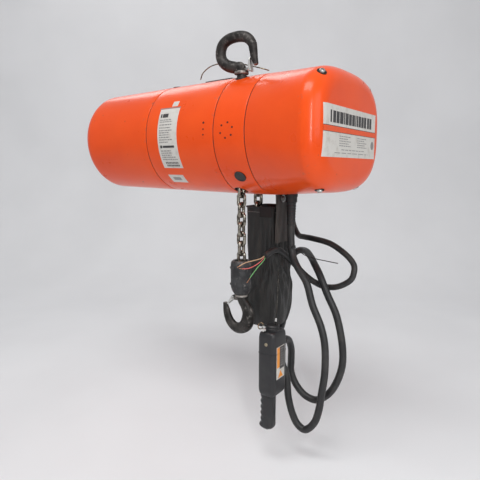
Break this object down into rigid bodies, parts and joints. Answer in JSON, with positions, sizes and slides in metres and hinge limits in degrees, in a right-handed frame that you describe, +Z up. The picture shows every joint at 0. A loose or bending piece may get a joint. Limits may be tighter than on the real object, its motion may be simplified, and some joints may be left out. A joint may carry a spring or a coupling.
{
  "type": "electric chain hoist",
  "caption": "Electric chain hoist: orange barrel body on a swivel safety hook, load chain with block and hook, fabric chain bag, two-paddle hand pendant and rubber cables.",
  "frame": {"origin": "highest inner point of the upper hook's bowl, the seat that carries the hoist, on the swivel and load axis", "axes": "+X along the barrel towards the control end, -Y towards the operator's side with the rating label, +Z up along the load line"},
  "size_m": [0.664, 0.316, 0.8514],
  "materials": {
    "orange_paint": "glossy enamel with scuffs",
    "forged_steel": "black oxide, worn bright at edges",
    "bright_steel": "plain zinc or machined",
    "grey_casting": "as cast",
    "brake_lining": "matte lining",
    "chain_steel": "oiled, lightly rusted",
    "black_rubber": "matte",
    "bag_fabric": "coated woven fabric, dusty",
    "black_plastic": "textured moulding",
    "red_jacket": "smooth",
    "tan_jacket": "smooth",
    "green_jacket": "smooth"
  },
  "bodies": {
    "suspension": {"upper_hook": "forged_steel", "suspension_nut": "bright_steel", "upper_latch_pin": "bright_steel", "top_wire": "chain_steel"},
    "upper_latch": {"upper_latch": "bright_steel"},
    "hoist": {"motor_cover": "orange_paint", "gear_housing": "orange_paint", "frame_casting": "orange_paint", "control_cover": "orange_paint", "cover_screw_top": "bright_steel", "cover_screw_bottom": "bright_steel", "frame_plug": "black_rubber", "chain_over_wheel": "chain_steel", "slack_chain": "chain_steel", "stored_chain": "chain_steel", "motor_stator": "grey_casting", "motor_end_plate": "grey_casting", "gearbox_plate": "grey_casting", "motor_bearing_front": "bright_steel", "motor_bearing_rear": "bright_steel", "wheel_bearing_left": "bright_steel", "wheel_bearing_right": "bright_steel", "brake_coil": "grey_casting", "control_panel_plate": "grey_casting", "reversing_contactor": "black_plastic", "limit_switch_screw": "bright_steel", "chain_bag": "bag_fabric", "bag_strap": "bag_fabric", "bag_bolt": "bright_steel", "pendant_head": "black_plastic", "pendant_grip": "black_plastic", "pendant_top_collar": "black_rubber", "pendant_inlet_boot": "black_rubber", "pendant_screw": "bright_steel", "pendant_cable_gland": "black_rubber", "power_cord_gland": "black_rubber", "pendant_cable": "black_rubber", "power_cord": "black_rubber", "conductor_red": "red_jacket", "conductor_tan": "tan_jacket", "conductor_green": "green_jacket", "strain_wire": "bright_steel", "cable_tie": "black_plastic"},
    "lift_wheel": {"lift_wheel": "chain_steel", "driven_gear": "bright_steel"},
    "layshaft": {"layshaft_gear": "bright_steel"},
    "rotor": {"motor_rotor": "bright_steel", "brake_disc": "brake_lining"},
    "load_block": {"load_chain": "chain_steel", "block_half_front": "forged_steel", "block_half_back": "forged_steel", "chain_pin": "bright_steel", "block_bolt": "bright_steel"},
    "load_hook": {"load_hook": "forged_steel", "load_hook_nut": "bright_steel", "load_hook_thrust_bearing": "bright_steel", "load_latch_pin": "bright_steel"},
    "load_latch": {"load_latch": "bright_steel"},
    "up_paddle": {"pendant_up_paddle": "black_plastic"},
    "down_paddle": {"pendant_down_paddle": "black_plastic"}
  },
  "joints": [
    {"name": "hoist_swivel", "type": "hinge", "parent": "suspension", "child": "hoist", "pos_m": [0, 0, 0], "axis": [0, 0, 1], "continuous": true},
    {"name": "upper_latch_hinge", "type": "hinge", "parent": "suspension", "child": "upper_latch", "pos_m": [0.019, 0, -0.056], "axis": [0, -1, 0], "range_deg": [0, 38], "stiffness_Nm_per_rad": 0.05, "springref_deg": -17.19},
    {"name": "lift_slide", "type": "slide", "parent": "hoist", "child": "load_block", "axis": [0, 0, -1], "range_m": [0, 0.084]},
    {"name": "wheel_spin", "type": "hinge", "parent": "hoist", "child": "lift_wheel", "pos_m": [0, 0.0335, -0.187], "axis": [1, 0, 0], "continuous": true},
    {"name": "layshaft_spin", "type": "hinge", "parent": "hoist", "child": "layshaft", "pos_m": [0, 0.07456, -0.14325], "axis": [1, 0, 0], "continuous": true},
    {"name": "motor_spin", "type": "hinge", "parent": "hoist", "child": "rotor", "pos_m": [-0.34, 0.045, -0.187], "axis": [1, 0, 0], "continuous": true},
    {"name": "load_hook_swivel", "type": "hinge", "parent": "load_block", "child": "load_hook", "pos_m": [0, 0, -0.53], "axis": [0, 0, 1], "continuous": true},
    {"name": "load_latch_hinge", "type": "hinge", "parent": "load_hook", "child": "load_latch", "pos_m": [-0.019, 0, -0.542], "axis": [0, -1, 0], "range_deg": [0, 38], "stiffness_Nm_per_rad": 0.05, "springref_deg": -17.19},
    {"name": "up_paddle_hinge", "type": "hinge", "parent": "hoist", "child": "up_paddle", "pos_m": [0.066, 0, -0.652], "axis": [0, 1, 0], "range_deg": [0, 4], "stiffness_Nm_per_rad": 0.3, "springref_deg": -5.73},
    {"name": "down_paddle_hinge", "type": "hinge", "parent": "hoist", "child": "down_paddle", "pos_m": [0.066, 0, -0.672], "axis": [0, -1, 0], "range_deg": [0, 4], "stiffness_Nm_per_rad": 0.3, "springref_deg": -5.73}
  ],
  "couplings": [
    {"joint": "wheel_spin", "follows": "lift_slide", "rad_per_m": 29.851},
    {"joint": "layshaft_spin", "follows": "lift_slide", "rad_per_m": -89.552},
    {"joint": "motor_spin", "follows": "lift_slide", "rad_per_m": 268.66}
  ]
}
